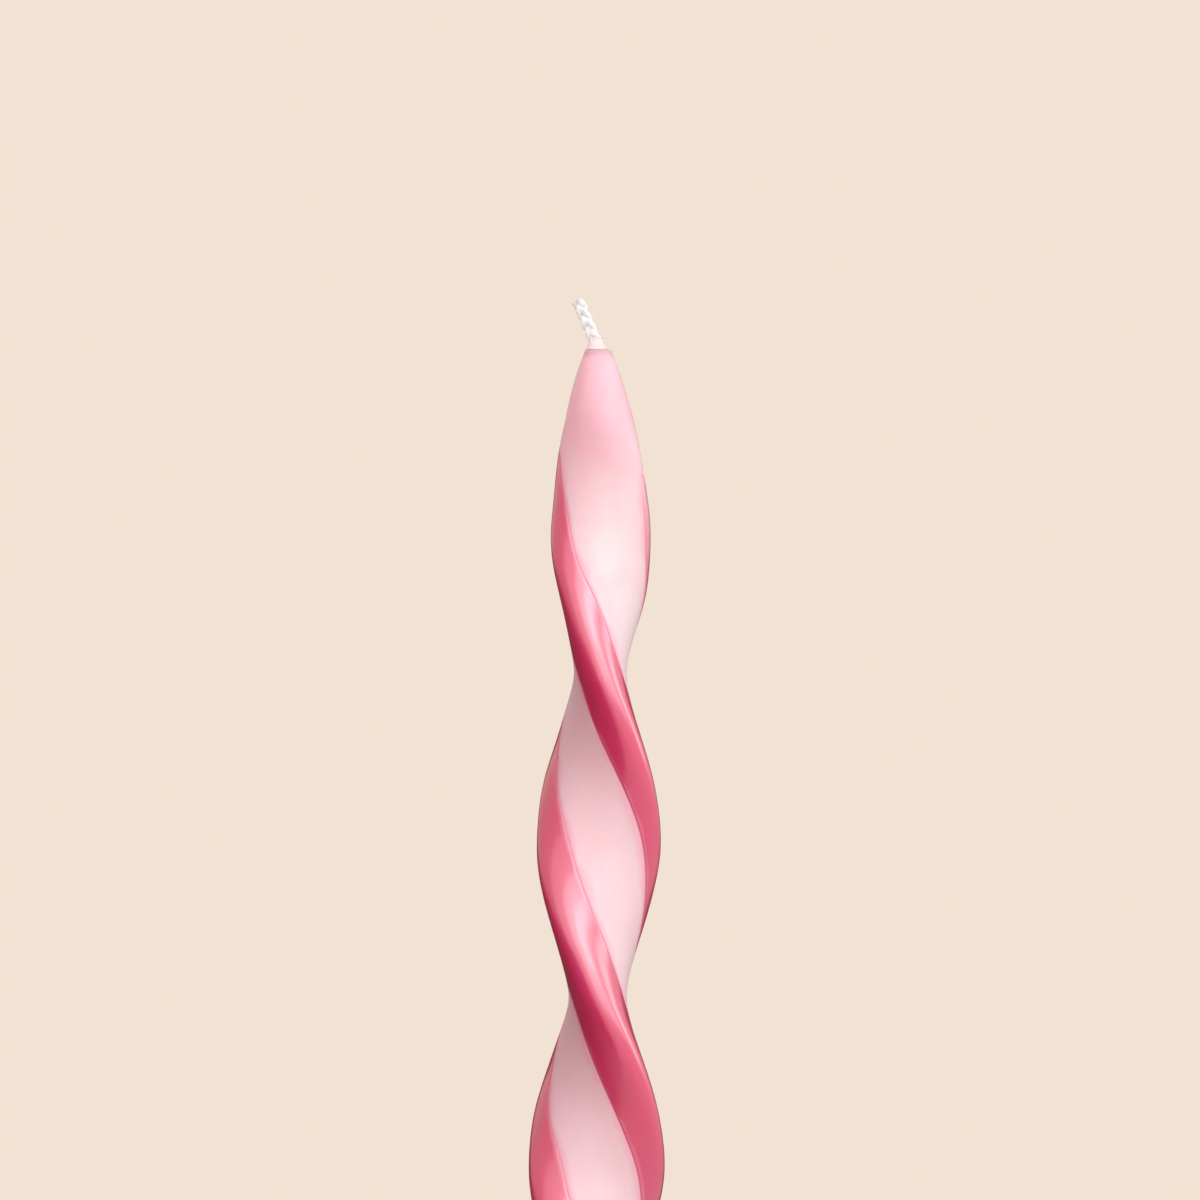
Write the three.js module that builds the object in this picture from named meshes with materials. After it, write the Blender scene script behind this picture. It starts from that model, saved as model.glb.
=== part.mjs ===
// A two-tone spiral taper candle, standing on its round foot.
//
// It starts as a round taper: a white wax core around a flat braided wick, dipped in a pale pink
// jacket. While warm it is pressed flat between the nose and the foot and twisted left-handed, and
// a strip of dark pink wax is laid into each of its two narrow edges.
//
// Millimetres, +Z up, the base on z = 0 and the candle's axis on the Z axis. The front is -Y.
import * as THREE from "three";

// Driving dimensions: the round taper.
const WAX_HEIGHT = 280; // from the base to the top of the wax
const FOOT_DIAMETER = 21.5; // the round end that drops into a candlestick's cup
const FOOT_HEIGHT = 19; // how much of the lower end stays round
const FOOT_BLEND = 40; // height in which the foot turns into the flat ribbon
const FOOT_RIM = 0.9; // rounding of the base's outer edge
const BODY_BASE_RADIUS = 9.7; // the round taper's radius carried down to the base
const BODY_TOP_RADIUS = 6.22; // the same, carried up to the top of the wax
const NOSE_LENGTH = 16.8; // the pointed end
const NOSE_TIP_RADIUS = 2; // the flat at the very top, round the wick
const NOSE_POWER = 1.93; // 1 is a straight cone, and higher is rounder

// Driving dimensions: the pressing and the twist.
const PRESS_RATIO = 1.485; // a pressed section is this much wider, and as much thinner, than round
const PRESS_RUN = 51; // depth in which the section goes from round at the top to fully pressed
const PRESS_POWER = 1.15; // how the pressing grows over that depth: 1 is evenly
const SECTION_POWER = 2.15; // superellipse exponent of the pressed section: 2 is an ellipse
const HALF_TURN = 56.5; // height of half a turn of the twist
const FACE_ON_DEPTH = 84.8; // depth below the top where a flat side faces the front

// Driving dimensions: the wax layers and the wick.
const FACE_COAT = 1.3; // thickness of the pale jacket on the flat sides
const BAND_WEB = 0.8; // thickness of the pale jacket behind a dark strip
const BAND_DEPTH = 1.0; // thickness of a dark strip at its middle
const BAND_RIM = 0.4; // thickness of a dark strip at its long margins
const CORE_COVER = 5.4; // depth of the core's top below the top of the wax
const WICK_WIDTH = 2.3;
const WICK_THICKNESS = 1.3;
const WICK_STUB = 9.3; // length of the free wick above the wax
const WICK_LEAN = 22; // how far the free wick leans to the left, in degrees
const WICK_BEND_RADIUS = 4; // radius of the bend where the wick leaves the wax
const WICK_RECESS = 0.5; // the wick is trimmed this far above the base
const FIT_GAP = 0.2; // clearance between neighbouring pieces

// The two dark strips. `side` is the edge of the section that a strip lies in, and `wrap` how far
// it reaches to each side of that edge, both in degrees. A strip ends in a tongue at each end.
// `start` is its upper end's depth below the top, and `end` its lower end's height above the base.
// `startRun` and `endRun` are the lengths of the tongues, and `startPower` and `endPower` shape
// them: a lower power makes a blunter tongue.
const STRIP_1 = { start: 14.5, startRun: 28, startPower: 0.17, end: 24, endRun: 30, endPower: 0.3 };
const STRIP_2 = { start: 22, startRun: 50, startPower: 0.3, end: 28, endRun: 30, endPower: 0.3 };
const BANDS = [
  { name: "dark_strip_1", side: 0, wrap: 55.5, ...STRIP_1 },
  { name: "dark_strip_2", side: 180, wrap: 61, ...STRIP_2 },
];
const TONGUE_END = 7; // how far the very end of a tongue reaches to each side, in degrees
const THIN_SHARE = 0.4; // share of its depth that a strip keeps at its very ends
const GROOVE_DRAFT = 1.5; // slant of the grooves' side walls, in degrees of the section
const GROOVE_RUNOUT = 1.2; // length in which a groove runs out beyond its strip's ends

// Fineness of the faceted surfaces.
const OUTER_STEP = 5;
const INNER_STEP = 6;
const FACE_SEGMENTS = 8;
const BAND_SEGMENTS = 6;
const CORE_SEGMENTS = 20;
const WICK_SEGMENTS = 12;
const NOSE_STEPS = 6;
const RIM_STEPS = 3;
const BEND_STEPS = 4;
const CLOSEST_HEIGHTS = 0.25;

const EDGE_COAT = BAND_DEPTH + FIT_GAP + BAND_WEB;
const NO_INSET = { edge: 0, face: 0 };
const { lerp, smoothstep, degToRad, clamp } = THREE.MathUtils;

/** Goes from 0 at x = 0 to 1 at x = 1 and stays there. A higher power starts steeper. */
function rise(x, power) {
  return 1 - (1 - clamp(x, 0, 1)) ** power;
}

/** Radius of the round taper at height z, before pressing and without the base's rounding. */
function roundRadius(z) {
  const depth = WAX_HEIGHT - z;
  const taper = lerp(BODY_TOP_RADIUS, BODY_BASE_RADIUS, depth / WAX_HEIGHT);
  const nose = lerp(NOSE_TIP_RADIUS / BODY_TOP_RADIUS, 1, rise(depth / NOSE_LENGTH, NOSE_POWER));
  return lerp(taper * nose, FOOT_DIAMETER / 2, footShare(z));
}

/** 1 in the round foot, 0 above it, and smooth between. */
function footShare(z) {
  return 1 - smoothstep(z, FOOT_HEIGHT, FOOT_HEIGHT + FOOT_BLEND);
}

/** How far the section is pressed at height z: 0 is round, 1 is the flat ribbon. */
function pressShare(z) {
  return rise((WAX_HEIGHT - z) / PRESS_RUN, PRESS_POWER) * (1 - footShare(z));
}

/** How far the base's rounding takes the outer surface in at height z. */
function rimInset(z) {
  const below = clamp(1 - z / FOOT_RIM, 0, 1);
  return FOOT_RIM * (1 - Math.sqrt(1 - below * below));
}

/** The section at height z: its half width to the edges, half thickness to the faces and power. */
function sectionAt(z) {
  const radius = roundRadius(z);
  const press = lerp(1, PRESS_RATIO, pressShare(z));
  return { edge: radius * press, face: radius / press, power: lerp(2, SECTION_POWER, pressShare(z)) };
}

/** The twist at height z, in radians. It falls with height, so the ribbon is left-handed. */
function twistAt(z) {
  return (Math.PI * (WAX_HEIGHT - FACE_ON_DEPTH - z)) / HALF_TURN;
}

/** A point of the section at height z and angle t, moved in by an inset towards edges and faces. */
function sectionPoint(z, t, inset) {
  const { edge, face, power } = sectionAt(z);
  const round = (x) => Math.sign(x) * Math.abs(x) ** (2 / power);
  const along = (edge - inset.edge) * round(Math.cos(t));
  const across = (face - inset.face) * round(Math.sin(t));
  return new THREE.Vector3(along, across, z).applyAxisAngle(new THREE.Vector3(0, 0, 1), twistAt(z));
}

/** `count` + 1 values from `from` to `to`. */
function spread(from, to, count) {
  return Array.from({ length: count + 1 }, (_, i) => lerp(from, to, i / count));
}

/** `count` angles that go once round, the first at `start`. */
function turn(count, start = 0) {
  return spread(start, start + 2 * Math.PI, count).slice(0, count);
}

/** Heights from low to high, at most `step` apart, that include the marks between them. */
function heightsBetween(low, high, step, marks) {
  const kept = [low];
  for (const mark of [...marks].sort((a, b) => a - b)) {
    const clear = mark - kept.at(-1) > CLOSEST_HEIGHTS && high - mark > CLOSEST_HEIGHTS;
    if (clear) kept.push(mark);
  }
  kept.push(high);
  return kept.flatMap((z, i) => {
    if (i === kept.length - 1) return [z];
    const parts = Math.ceil((kept[i + 1] - z) / step);
    return spread(z, kept[i + 1], parts).slice(0, parts);
  });
}

/** A strip's upper and lower end, as heights. */
function bandEnds(band) {
  return { low: band.end, high: WAX_HEIGHT - band.start };
}

/** How full a strip is at height z: its half angle and the share of its depth, 0 beyond its ends. */
function bandAt(band, z) {
  const { low, high } = bandEnds(band);
  const tip = degToRad(TONGUE_END);
  if (z < low || z > high) return { half: tip, share: 0 };
  const fromTop = clamp((high - z) / band.startRun, 0, 1) ** band.startPower;
  const fromBottom = clamp((z - low) / band.endRun, 0, 1) ** band.endPower;
  const full = Math.min(fromTop, fromBottom);
  return { half: Math.max(tip, degToRad(band.wrap) * full), share: Math.max(full, THIN_SHARE) };
}

/** A strip's inset at a share of its depth, with an added gap. */
function bandInset(share, gap) {
  return { edge: BAND_DEPTH * share + gap, face: BAND_RIM * share + gap };
}

/** The angle at t that is as wide as the clearance between pieces. */
function gapAngle(z, t) {
  const { edge, face } = sectionAt(z);
  return FIT_GAP / Math.hypot(edge * Math.sin(t), face * Math.cos(t));
}

/** The heights at which the outer surface has its rings. */
function outerHeights() {
  const nose = spread(WAX_HEIGHT, WAX_HEIGHT - NOSE_LENGTH, NOSE_STEPS);
  const rim = spread(0, FOOT_RIM, RIM_STEPS);
  const bands = BANDS.flatMap((band) => {
    const { low, high } = bandEnds(band);
    return [low, high].flatMap((z) => [z - GROOVE_RUNOUT, z, z + GROOVE_RUNOUT]);
  });
  return heightsBetween(0, WAX_HEIGHT, OUTER_STEP, [...nose, ...rim, ...bands, FOOT_HEIGHT]);
}

/** The jacket's outer ring at height z, with a groove for each strip. */
function jacketRing(z) {
  const ring = [];
  const rim = rimInset(z);
  const skin = { edge: rim, face: rim };
  const [first, second] = BANDS;
  for (const [here, next] of [[first, second], [second, first]]) {
    const { half, share } = bandAt(here, z);
    const middle = degToRad(here.side);
    const floor = half - degToRad(GROOVE_DRAFT);
    const inset = share > 0 ? bandInset(share, FIT_GAP) : skin;
    for (const t of spread(middle - floor, middle + floor, BAND_SEGMENTS)) {
      ring.push(sectionPoint(z, t, inset));
    }
    const nextStart = middle + Math.PI - bandAt(next, z).half;
    for (const t of spread(middle + half, nextStart, FACE_SEGMENTS)) {
      ring.push(sectionPoint(z, t, skin));
    }
  }
  return ring;
}

/** A strip's ring at height z: along its outside, then back along its inside. */
function bandRing(band, z) {
  const { half, share } = bandAt(band, z);
  const middle = degToRad(band.side);
  const outer = half - gapAngle(z, half);
  const inner = outer - degToRad(GROOVE_DRAFT);
  return [
    ...spread(middle - outer, middle + outer, BAND_SEGMENTS).map((t) => sectionPoint(z, t, NO_INSET)),
    ...spread(middle + inner, middle - inner, BAND_SEGMENTS).map((t) =>
      sectionPoint(z, t, bandInset(share, 0)),
    ),
  ];
}

/** A ring of the core's surface, or with no gap of the hollow in the jacket that holds it. */
function coreRing(z, gap) {
  const inset = { edge: EDGE_COAT + gap, face: FACE_COAT + gap };
  return turn(CORE_SEGMENTS).map((t) => sectionPoint(z, t, inset));
}

/** An upright ring of the wick's oval, grown by a gap, whose first point is turned by `start`. */
function wickRing(z, gap, segments, start = 0) {
  const halfWidth = WICK_WIDTH / 2 + gap;
  const halfThickness = WICK_THICKNESS / 2 + gap;
  return turn(segments, start).map(
    (t) => new THREE.Vector3(halfWidth * Math.cos(t), halfThickness * Math.sin(t), z),
  );
}

/**
 * A closed solid through rings that run anticlockwise, from the lowest to the highest. With inner
 * rings, it has a hole right through, and its first and last inner rings lie in its end faces.
 * Each side is split along its shorter diagonal, so that nested twisted walls stay parallel.
 */
function loft(outerRings, innerRings = []) {
  const points = [];
  const faces = [];
  const addWall = (rings, flip) => {
    const size = rings[0].length;
    const first = points.length;
    points.push(...rings.flat());
    for (let level = 0; level + 1 < rings.length; level++) {
      for (let i = 0; i < size; i++) {
        const a = first + level * size + i;
        const b = first + level * size + ((i + 1) % size);
        const rising = points[a].distanceTo(points[b + size]);
        const falling = points[b].distanceTo(points[a + size]);
        const [c, d] = [b + size, a + size];
        const quad = rising < falling ? [a, b, c, a, c, d] : [a, b, d, b, c, d];
        faces.push(...(flip ? quad.reverse() : quad));
      }
    }
    return { bottom: first, top: first + (rings.length - 1) * size, size };
  };
  const outer = addWall(outerRings, false);
  const inner = innerRings.length ? addWall(innerRings, true) : null;
  const addCap = (end, flip) => {
    const indices = [outer, inner].map((wall) =>
      wall ? Array.from({ length: wall.size }, (_, i) => wall[end] + i) : [],
    );
    const flat = indices.map((list) => list.map((i) => new THREE.Vector2(points[i].x, points[i].y)));
    const holes = inner ? [flat[1]] : [];
    const all = indices.flat();
    for (const triangle of THREE.ShapeUtils.triangulateShape(flat[0], holes)) {
      const turned = flip ? [...triangle].reverse() : triangle;
      faces.push(...turned.map((i) => all[i]));
    }
  };
  addCap("bottom", true);
  addCap("top", false);
  const geometry = new THREE.BufferGeometry().setFromPoints(points);
  geometry.setIndex(faces);
  geometry.computeVertexNormals();
  return geometry;
}

/** The white core, with the wick's channel through it. */
function coreGeometry() {
  const top = WAX_HEIGHT - CORE_COVER;
  const channel = [0, top].map((z) => wickRing(z, FIT_GAP, WICK_SEGMENTS));
  return loft(coreHeights().map((z) => coreRing(z, FIT_GAP)), channel);
}

/** The heights at which the core and the hollow that holds it have their rings. */
function coreHeights() {
  const nose = spread(WAX_HEIGHT, WAX_HEIGHT - NOSE_LENGTH, NOSE_STEPS);
  return heightsBetween(0, WAX_HEIGHT - CORE_COVER, INNER_STEP, [...nose, FOOT_HEIGHT]);
}

/** The pale jacket: outside with its two grooves, inside the core's hollow and the wick's hole. */
function jacketGeometry() {
  const heights = coreHeights();
  const ceiling = WAX_HEIGHT - CORE_COVER + FIT_GAP;
  const hollow = [...heights.slice(0, -1), ceiling].map((z) => coreRing(z, 0));
  const hole = [ceiling, WAX_HEIGHT].map((z) => wickRing(z, FIT_GAP, CORE_SEGMENTS, twistAt(ceiling)));
  return loft(outerHeights().map(jacketRing), [...hollow, ...hole]);
}

/** One dark strip, with its rings at the jacket's own heights so that the two stay parallel. */
function bandGeometry(band) {
  const { low, high } = bandEnds(band);
  const heights = outerHeights().filter((z) => z >= low && z <= high);
  return loft(heights.map((z) => bandRing(band, z)));
}

/** The wick from its trimmed lower end at z = 0, up the channel and over into the leaning stub. */
function wickGeometry() {
  const straight = WAX_HEIGHT - WICK_RECESS;
  const lean = degToRad(WICK_LEAN);
  const stub = WICK_STUB - WICK_BEND_RADIUS * lean;
  const bendCentre = new THREE.Vector3(-WICK_BEND_RADIUS, 0, straight);
  const leftwards = new THREE.Vector3(0, -1, 0);
  const arm = new THREE.Vector3(WICK_BEND_RADIUS, 0, 0);
  const leanedRing = (angle, beyond) =>
    wickRing(beyond, 0, WICK_SEGMENTS).map((point) =>
      point.add(arm).applyAxisAngle(leftwards, angle).add(bendCentre),
    );
  const bend = spread(0, lean, BEND_STEPS).map((angle) => leanedRing(angle, 0));
  return loft([wickRing(0, 0, WICK_SEGMENTS), ...bend, leanedRing(lean, stub)]);
}

/** A named mesh in one colour of wax or cotton. */
function piece(name, geometry, colour, roughness) {
  const material = new THREE.MeshStandardMaterial({ color: colour, roughness, metalness: 0 });
  const mesh = new THREE.Mesh(geometry, material);
  mesh.name = name;
  return mesh;
}

const WHITE_WAX = 0xf4ece4;
const PALE_WAX = 0xf6c3cd;
const DARK_WAX = 0xd64a72;
const COTTON = 0xf3f1ea;

const wax = new THREE.Group();
wax.add(
  piece("wax_core", coreGeometry(), WHITE_WAX, 0.5),
  piece("pale_jacket", jacketGeometry(), PALE_WAX, 0.4),
  ...BANDS.map((band) => piece(band.name, bandGeometry(band), DARK_WAX, 0.35)),
);

const wick = piece("wick", wickGeometry(), COTTON, 0.9);
wick.position.z = WICK_RECESS;

const candle = new THREE.Group();
candle.add(wax, wick);

export default candle;
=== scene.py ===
"""A two-tone spiral taper candle, dressed around its packed construction model.

The construction model gives the frame, in metres: the base on z = 0, the axis on Z, and the
photographed side towards -Y. Each of its five pieces is replaced here by a fine mesh of the same
form: a white core, a pale pink jacket, two dark pink strips laid into the jacket's narrow edges,
and a flat braided wick. A sixth piece is the collar of white wax that climbs the wick.
"""

from __future__ import annotations

import logging
import math
from dataclasses import dataclass
from enum import Enum

import bpy
import numpy as np
from mathutils import Matrix, Vector


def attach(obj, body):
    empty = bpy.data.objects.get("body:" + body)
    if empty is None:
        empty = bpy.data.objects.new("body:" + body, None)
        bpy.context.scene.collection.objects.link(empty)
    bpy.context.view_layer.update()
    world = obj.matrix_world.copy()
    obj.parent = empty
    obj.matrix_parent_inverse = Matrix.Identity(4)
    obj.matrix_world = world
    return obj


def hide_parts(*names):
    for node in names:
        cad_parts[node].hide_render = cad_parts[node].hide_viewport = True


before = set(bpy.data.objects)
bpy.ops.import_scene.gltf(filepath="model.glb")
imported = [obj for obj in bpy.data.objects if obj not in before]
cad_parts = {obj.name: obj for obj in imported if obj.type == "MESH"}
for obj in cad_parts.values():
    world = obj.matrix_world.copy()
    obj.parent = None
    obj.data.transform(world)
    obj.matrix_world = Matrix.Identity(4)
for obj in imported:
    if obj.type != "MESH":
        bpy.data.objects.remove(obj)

LOG = logging.getLogger("candle")
MM = 0.001
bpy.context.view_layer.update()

Array = np.ndarray
Values = np.ndarray | float
Colour = tuple[float, float, float]
Span = tuple[float, float]
Socket = bpy.types.NodeSocket

FAR = 20 * MM  # a distance from every colour margin at which the finish is the body's
ROUNDING = np.linspace(0, math.pi / 2, 7)  # angles of the rings round an edge
NOISE_SPAN = (0.3, 0.7)  # where most values of a noise texture lie
FALLING = (1.0, 0.0)


# Numbers and meshes.


def rise(x: Values, power: float) -> Values:
    """Goes from 0 at x = 0 to 1 at x = 1 and stays there.

    Args:
        x: Where along the rise.
        power: 1 rises evenly, and a higher power starts steeper.

    Returns:
        The height of the rise at x.
    """
    return 1 - (1 - np.clip(x, 0, 1)) ** power


def smooth(x: Values, low: float, high: float) -> Values:
    """Goes from 0 at low to 1 at high with level ends.

    Args:
        x: Where along the step.
        low: Where the step starts.
        high: Where the step ends.

    Returns:
        The height of the step at x.
    """
    share = np.clip((x - low) / (high - low), 0, 1)
    return share * share * (3 - 2 * share)


def blend(a: Values, b: Values, share: Values) -> Values:
    """Mixes a and b, with share 0 giving a and share 1 giving b."""
    return a + (b - a) * share


def crowded(count: int) -> Array:
    """Steps from 0 to 1 that crowd towards both ends."""
    return (1 - np.cos(np.pi * np.linspace(0, 1, count + 1))) / 2


def signed_power(x: Array, power: Values) -> Array:
    """Raises the size of x to a power and keeps its sign."""
    return np.sign(x) * np.abs(x) ** power


def full_turn(count: int) -> Array:
    """Evenly spaced angles round a whole turn, from 0."""
    return np.linspace(0, 2 * math.pi, count, endpoint=False)


def rows_of(x: Values, y: Values, z: Values) -> Array:
    """Rows of x, y, z, where a single number stands for every row."""
    return np.stack(np.broadcast_arrays(x, y, z), -1)


def dimmed(colour: Colour, share: float) -> Colour:
    """The colour at a share of its brightness."""
    return tuple(share * channel for channel in colour)


class Mesh:
    """A mesh under construction, made of rings of points that are joined by quads."""

    def __init__(self, name: str) -> None:
        """Starts an empty mesh.

        Args:
            name: The name of the finished object.
        """
        self.name = name
        self.points: list[Array] = []
        self.faces: list[tuple[int, ...]] = []
        self.values: dict[str, list[Array]] = {}
        self.count = 0

    def add(self, points: Array, **values: Array) -> Array:
        """Adds points with their values and returns the points' indices.

        Args:
            points: Rows of x, y, z in metres.
            **values: Named values, one row for each point.

        Returns:
            The indices of the new points.
        """
        self.points.append(points)
        for name, rows in values.items():
            self.values.setdefault(name, []).append(rows)
        self.count += len(points)
        return np.arange(self.count - len(points), self.count)

    def join(self, below: Array, above: Array) -> None:
        """Joins two closed rings of equally many points.

        Args:
            below: The first ring's indices.
            above: The next ring's. The faces run anticlockwise as seen from outside.
        """
        left, right = below, np.roll(below, -1)
        top_left, top_right = above, np.roll(above, -1)
        self.faces.extend(map(tuple, np.stack([left, right, top_right, top_left], 1).tolist()))

    def close(self, ring: Array, facing_down: bool) -> None:
        """Closes a ring with one flat face.

        Args:
            ring: The ring's indices, anticlockwise from above.
            facing_down: True where the face looks down.
        """
        order = ring[::-1] if facing_down else ring
        self.faces.append(tuple(order.tolist()))

    def skin(self, rings: list[Array], endless: bool) -> None:
        """Joins each ring to the next, and closes the two ends.

        Args:
            rings: The rings' indices, in order.
            endless: True joins the last ring to the first. False gives each a flat face.
        """
        for below, above in zip(rings, rings[1:]):
            self.join(below, above)
        if endless:
            self.join(rings[-1], rings[0])
        else:
            self.close(rings[0], facing_down=True)
            self.close(rings[-1], facing_down=False)

    def finish(self, sharp_from: float = 40.0) -> bpy.types.Object:
        """Makes the object, smooth but for its sharp edges.

        Args:
            sharp_from: The angle between faces, in degrees, from which an edge stays sharp.

        Returns:
            The finished object, linked to the scene.
        """
        mesh = bpy.data.meshes.new(self.name)
        mesh.from_pydata(np.concatenate(self.points).tolist(), [], self.faces)
        for name, rows in self.values.items():
            data = np.concatenate(rows).astype(np.float32)
            kind, slot = ("FLOAT", "value") if data.ndim == 1 else ("FLOAT_VECTOR", "vector")
            mesh.attributes.new(name, kind, "POINT").data.foreach_set(slot, data.ravel())
        mesh.shade_smooth()
        mesh.set_sharp_from_angle(angle=math.radians(sharp_from))
        mesh.validate()
        mesh.update()
        piece = bpy.data.objects.new(self.name, mesh)
        bpy.context.scene.collection.objects.link(piece)
        return piece


# The candle's form.


@dataclass(frozen=True)
class Sway:
    """How the middle line of the hand-made candle strays from straight."""

    shift: float = 0.12 * MM
    tip_lean: float = -0.62 * MM
    tip_from: float = 250 * MM
    tip_to: float = 281 * MM
    kink: float = 0.45 * MM
    kink_height: float = 234.5 * MM
    kink_run: float = 8 * MM
    settle: float = 60 * MM

    def at(self, z: Values) -> Values:
        """How far the middle line lies towards +X.

        Args:
            z: The height above the base.

        Returns:
            The distance at each height.
        """
        lean = self.shift + self.tip_lean * smooth(z, self.tip_from, self.tip_to)
        kink = self.kink * np.exp(-(((z - self.kink_height) / self.kink_run) ** 2))
        return (lean + kink) * smooth(z, 0, self.settle)


@dataclass(frozen=True)
class TaperForm:
    """The skin of the candle: a round taper, pressed flat between nose and foot, and twisted."""

    height: float = 280 * MM
    foot_radius: float = 10.75 * MM
    foot_height: float = 19 * MM
    foot_blend: float = 40 * MM
    foot_rim: float = 0.9 * MM
    base_radius: float = 9.7 * MM
    top_radius: float = 6.22 * MM
    nose_length: float = 16.8 * MM
    nose_tip_radius: float = 2.2 * MM
    nose_power: float = 1.93
    press_ratio: float = 1.485
    press_run: float = 51 * MM
    press_power: float = 1.15
    section_power: float = 2.15
    half_turn: float = 56.5 * MM
    face_on_depth: float = 84.8 * MM
    crease_depth: float = 0.09 * MM
    crease_width: float = 0.36 * MM
    crease_share: float = 0.2
    hand_depth: float = 0.05 * MM
    hand_waves: int = 14
    hand_around: tuple[int, int] = (1, 5)
    hand_lengths: Span = (14 * MM, 60 * MM)
    hand_seed: int = 7
    arc_steps: int = 8
    sway: Sway = Sway()

    def foot_share(self, z: Values) -> Values:
        """1 in the round foot, 0 above it, and smooth between."""
        return 1 - smooth(z, self.foot_height, self.foot_height + self.foot_blend)

    def press_share(self, z: Values) -> Values:
        """How far the section is pressed at height z: 0 is round, 1 is the flat ribbon."""
        return rise((self.height - z) / self.press_run, self.press_power) * (1 - self.foot_share(z))

    def twist(self, z: Values) -> Values:
        """The twist at height z, in radians. It falls with height, so the ribbon is left-handed."""
        return math.pi * (self.height - self.face_on_depth - z) / self.half_turn

    def half_sizes(self, z: Values) -> tuple[Values, Values, Values]:
        """Sizes of the section at height z.

        Args:
            z: Heights above the base.

        Returns:
            The half width to the narrow edges, the half thickness, and the superellipse's power.
        """
        depth = self.height - z
        taper = blend(self.top_radius, self.base_radius, depth / self.height)
        tip = self.nose_tip_radius / self.top_radius
        nose = blend(tip, 1, rise(depth / self.nose_length, self.nose_power))
        radius = blend(taper * nose, self.foot_radius, self.foot_share(z))
        press = blend(1, self.press_ratio, self.press_share(z))
        return radius * press, radius / press, blend(2, self.section_power, self.press_share(z))

    def rim_inset(self, z: Values) -> Values:
        """How far the rounding of the base's edge takes the skin in at height z."""
        below = np.clip(1 - z / self.foot_rim, 0, 1)
        return self.foot_rim * (1 - np.sqrt(1 - below * below))

    def crease(self, margin: Array, strip_side: bool = False) -> Array:
        """How far the skin dips at a distance from the margin between two colours.

        Args:
            margin: The distance.
            strip_side: True on the strip, where the dip is narrower.

        Returns:
            The dip.
        """
        width = self.crease_width * (self.crease_share if strip_side else 1)
        return self.crease_depth * np.exp(-((margin / width) ** 2))

    def hand_marks(self, z: Array, t: Array) -> Array:
        """Low swells and hollows left by rolling and twisting by hand.

        Args:
            z: Heights above the base.
            t: Angles round the section.

        Returns:
            How far the skin stands out at each place.
        """
        dice = np.random.default_rng(self.hand_seed)
        total = np.zeros(np.broadcast(z, t).shape)
        for _ in range(self.hand_waves):
            around = int(dice.integers(*self.hand_around))
            along = 2 * math.pi / dice.uniform(*self.hand_lengths)
            total = total + np.sin(around * t + along * z + dice.uniform(0, 2 * math.pi))
        calm = smooth(z, 0, 2 * self.foot_height) * smooth(self.height - z, 0, self.nose_length)
        return self.hand_depth * total / math.sqrt(self.hand_waves / 2) * calm

    def points(
        self,
        z: Values,
        t: Array,
        edge_inset: Values = 0,
        face_inset: Values = 0,
    ) -> Array:
        """Points of the section.

        Args:
            z: The height of each point, or of all of them.
            t: Angles round the section, 0 at its first narrow edge.
            edge_inset: How far the points are moved in from the narrow edges.
            face_inset: How far they are moved in from the flat sides.

        Returns:
            Rows of x, y, z.
        """
        z, t = np.broadcast_arrays(np.asarray(z, float), np.asarray(t, float))
        edge, face, power = self.half_sizes(z)
        swell = self.hand_marks(z, t)
        along = (edge - edge_inset + swell) * signed_power(np.cos(t), 2 / power)
        across = (face - face_inset + swell) * signed_power(np.sin(t), 2 / power)
        turn = self.twist(z)
        x = along * np.cos(turn) - across * np.sin(turn) + self.sway.at(z)
        y = along * np.sin(turn) + across * np.cos(turn)
        return np.stack([x, y, z], -1)

    def arc(self, z: float, t_from: Values, t_to: Values) -> Array:
        """The distance along the section between pairs of angles at one height.

        Args:
            z: The height of the section.
            t_from: Where each distance starts.
            t_to: Where each distance ends.

        Returns:
            The distances, never negative.
        """
        steps = np.linspace(0, 1, self.arc_steps + 1)[:, None]
        angles = blend(np.atleast_1d(t_from)[None, :], np.atleast_1d(t_to)[None, :], steps)
        return np.linalg.norm(np.diff(self.points(z, angles), axis=0), axis=2).sum(0)

    def flow(self, z: float, angles: Array, thin: float = 0.0) -> Array:
        """The values that the streaks in the wax follow.

        Args:
            z: The height of a ring.
            angles: The ring's angles round the section.
            thin: How far the wax has run out thin there, from 0 to 1.

        Returns:
            Rows of the distance round the section, the height and the thinness.
        """
        edge, face, _ = self.half_sizes(z)
        return rows_of(angles * float(edge + face) / 2, z, thin)


class End(Enum):
    """The two ends of a strip."""

    UPPER = "upper"
    LOWER = "lower"


class Margin(Enum):
    """The two margins of a strip, in the order of their angles."""

    EARLIER = "earlier"
    LATER = "later"


@dataclass(frozen=True)
class Stray:
    """A place where one margin of a strip strays from its even course."""

    height: float
    run: float
    degrees: float
    margin: Margin

    def at(self, z: float, margin: Margin) -> float:
        """How far a margin strays outwards.

        Args:
            z: The height above the base.
            margin: The margin that is asked about.

        Returns:
            The angle, in radians. It is 0 for the other margin.
        """
        if margin is not self.margin:
            return 0.0
        return math.radians(self.degrees) * math.exp(-(((z - self.height) / self.run) ** 2))


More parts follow.
